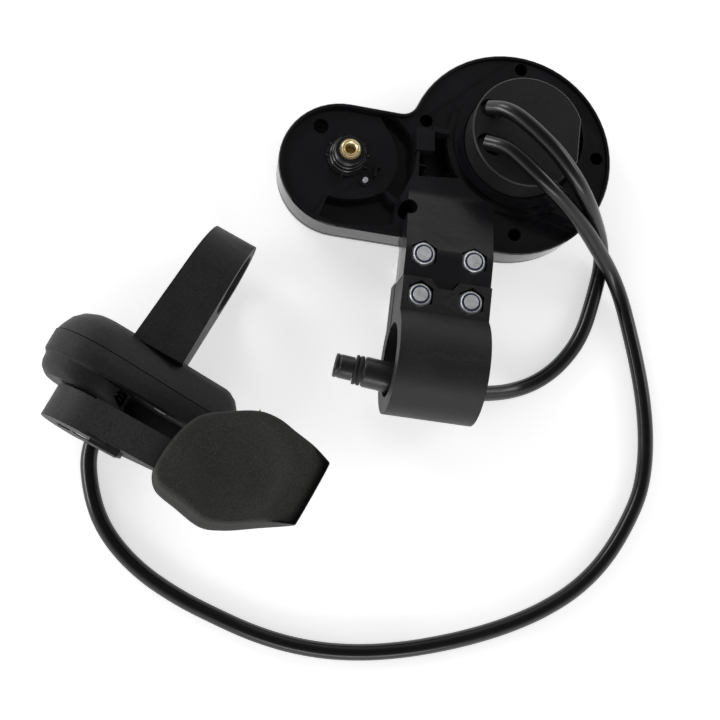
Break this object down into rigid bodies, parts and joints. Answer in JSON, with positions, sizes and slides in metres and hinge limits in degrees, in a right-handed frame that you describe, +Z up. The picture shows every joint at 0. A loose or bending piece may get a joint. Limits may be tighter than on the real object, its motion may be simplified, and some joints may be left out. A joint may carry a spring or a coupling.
{
  "type": "cycling computer",
  "caption": "Handlebar display unit with an integral bar clamp, a round rear cable box, a lever type thumb throttle with its own band clamp and two round cables",
  "frame": {"origin": "bottom centre of the set's bounding box without the two cables, on the table plane", "axes": "+Z up out of the table, the display's rear side up; +X along the handlebar axis of the display clamp, from the clamp's outer end to the display's far lobe side; +Y from the clamp ring towards the display"},
  "size_m": [0.2126, 0.218, 0.0402],
  "materials": {
    "gloss_black_plastic": "polished injection moulded black ABS",
    "matte_black_plastic": "matte black glass filled nylon",
    "grained_plastic": "satin black plastic with a fine spark grain",
    "grip_rubber": "matte thermoplastic rubber",
    "black_rubber": "matte moulded rubber",
    "cable_jacket": "semi gloss PVC jacket",
    "stainless_steel": "bright stainless steel",
    "blackened_steel": "blackened steel",
    "blue_grey_nylon": "blue grey nylon locking ring",
    "brass": "turned and knurled brass",
    "circuit_board": "green laminate with solder mask",
    "lens_glass": "tinted flat window",
    "lcd_cell": "grey liquid crystal cell"
  },
  "bodies": {
    "set": {"bay_pin": "stainless_steel", "brass_insert": "brass", "button_board": "circuit_board", "cable_box": "matte_black_plastic", "clamp_bolt_1": "stainless_steel", "clamp_bolt_2": "stainless_steel", "clamp_bolt_3": "stainless_steel", "clamp_bolt_4": "stainless_steel", "clamp_nut_1": "stainless_steel", "clamp_nut_2": "stainless_steel", "clamp_nut_3": "stainless_steel", "clamp_nut_4": "stainless_steel", "connector_body": "black_rubber", "connector_nose": "black_rubber", "connector_ring": "matte_black_plastic", "front_bezel": "gloss_black_plastic", "grommet_lower": "black_rubber", "grommet_upper": "black_rubber", "hall_board": "circuit_board", "hall_sensor": "blackened_steel", "handlebar_clamp": "matte_black_plastic", "housing_screw_1": "blackened_steel", "housing_screw_2": "blackened_steel", "housing_screw_3": "blackened_steel", "housing_screw_4": "blackened_steel", "housing_screw_5": "blackened_steel", "housing_screw_6": "blackened_steel", "housing_seal": "black_rubber", "lcd_lens": "lens_glass", "lcd_panel": "lcd_cell", "main_board": "circuit_board", "main_cable": "cable_jacket", "nylon_ring_1": "blue_grey_nylon", "nylon_ring_2": "blue_grey_nylon", "nylon_ring_3": "blue_grey_nylon", "nylon_ring_4": "blue_grey_nylon", "rear_housing": "gloss_black_plastic", "return_spring": "blackened_steel", "set_screw": "stainless_steel", "shaft_bush": "brass", "shell_screw_1": "stainless_steel", "shell_screw_2": "stainless_steel", "shell_screw_3": "stainless_steel", "switch_mode": "stainless_steel", "switch_power": "stainless_steel", "throttle_cable": "cable_jacket", "throttle_gland": "black_rubber", "throttle_lower_shell": "grained_plastic", "throttle_upper_shell": "grained_plastic"},
    "lever": {"throttle_lever": "grained_plastic", "thumb_pad": "grip_rubber", "pivot_shaft": "stainless_steel", "pivot_screw": "stainless_steel", "magnet_ring": "stainless_steel"},
    "power_key": {"button_power": "matte_black_plastic"},
    "mode_key": {"button_mode": "matte_black_plastic"}
  },
  "joints": [
    {"name": "throttle_pivot", "type": "hinge", "parent": "set", "child": "lever", "pos_m": [-0.07185, -0.05579, 0.0205], "axis": [0.3633, 0.9317, 0], "range_deg": [0, 20], "stiffness_Nm_per_rad": 0.06, "springref_deg": -28.65},
    {"name": "power_press", "type": "slide", "parent": "set", "child": "power_key", "axis": [0, 0, 1], "range_m": [0, 0.0006], "stiffness_N_per_m": 2000, "springref_m": -0.0005},
    {"name": "mode_press", "type": "slide", "parent": "set", "child": "mode_key", "axis": [0, 0, 1], "range_m": [0, 0.0006], "stiffness_N_per_m": 2000, "springref_m": -0.0005}
  ]
}
